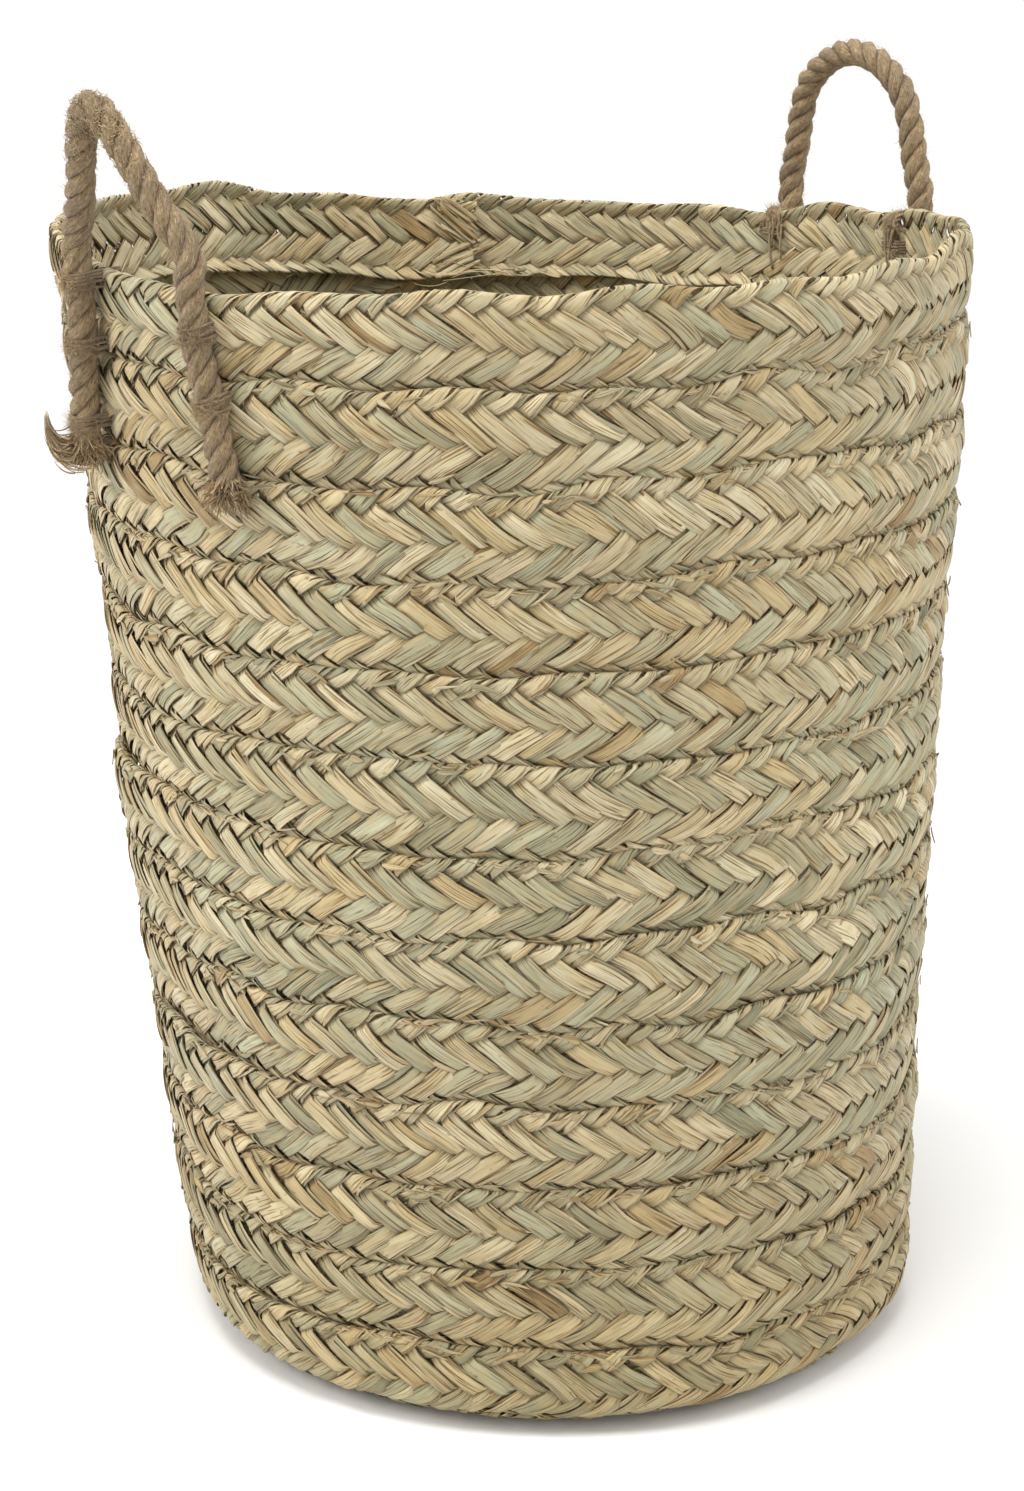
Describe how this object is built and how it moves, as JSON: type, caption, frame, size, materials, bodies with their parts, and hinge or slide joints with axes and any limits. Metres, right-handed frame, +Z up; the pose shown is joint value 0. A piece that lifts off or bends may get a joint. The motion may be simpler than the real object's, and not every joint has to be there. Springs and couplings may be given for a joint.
{
  "type": "storage basket",
  "caption": "Tall round open basket of braided seagrass strip wound and sewn edge to edge, tapering to a flat base, with two stand-up jute rope handles on the outside of the rim.",
  "frame": {"origin": "on the floor at the centre of the flat base, where the strip starts", "axes": "+Z up out of the mouth; -Y faces the viewer who sees one handle near on the left and the other far on the right; the hand-sewn wall leans a little towards -X as it rises"},
  "size_m": [0.3997, 0.399, 0.5717],
  "materials": {
    "seagrass_braid": "plaited dry seagrass leaf, grey-green to straw, satin, fibrous",
    "seagrass_braid_low": "the same plait where it is tanner, towards and under the base",
    "lacing_cord": "thin twisted brown leaf cord, dull",
    "jute_rope": "three-strand jute rope, hairy and matt",
    "jute_binding": "jute thread, matt, with loose hairs"
  },
  "bodies": {
    "basket": {"strip_start_fold": "seagrass_braid_low", "base_turn_1": "seagrass_braid_low", "base_turn_2": "seagrass_braid_low", "base_turn_3": "seagrass_braid_low", "base_turn_4": "seagrass_braid_low", "wall_turn_01": "seagrass_braid", "wall_turn_02": "seagrass_braid", "wall_turn_03": "seagrass_braid", "wall_turn_04": "seagrass_braid", "wall_turn_05": "seagrass_braid", "wall_turn_06": "seagrass_braid", "wall_turn_07": "seagrass_braid", "wall_turn_08": "seagrass_braid", "wall_turn_09": "seagrass_braid", "wall_turn_10": "seagrass_braid", "wall_turn_11": "seagrass_braid", "wall_turn_12": "seagrass_braid", "wall_turn_13": "seagrass_braid", "lacing_cord": "lacing_cord", "left_handle_rear_leg": "jute_rope", "left_rear_binding_1": "jute_binding", "left_rear_binding_2": "jute_binding", "left_rear_binding_3": "jute_binding", "left_handle_front_leg": "jute_rope", "left_front_binding_1": "jute_binding", "left_front_binding_2": "jute_binding", "right_handle_rear_leg": "jute_rope", "right_rear_binding_1": "jute_binding", "right_rear_binding_2": "jute_binding", "right_rear_binding_3": "jute_binding", "right_handle_front_leg": "jute_rope", "right_front_binding_1": "jute_binding", "right_front_binding_2": "jute_binding", "right_front_binding_3": "jute_binding"},
    "left_handle": {"left_handle_loop": "jute_rope"},
    "right_handle": {"right_handle_loop": "jute_rope"}
  },
  "joints": [
    {"name": "left_handle_bend", "type": "hinge", "parent": "basket", "child": "left_handle", "pos_m": [-0.16771, -0.14042, 0.5055], "axis": [0.6884, -0.7254, 0], "range_deg": [-107, 93], "stiffness_Nm_per_rad": 0.06},
    {"name": "right_handle_bend", "type": "hinge", "parent": "basket", "child": "right_handle", "pos_m": [0.14411, 0.1186, 0.5045], "axis": [-0.5864, 0.81, 0], "range_deg": [-88, 112], "stiffness_Nm_per_rad": 0.06}
  ]
}
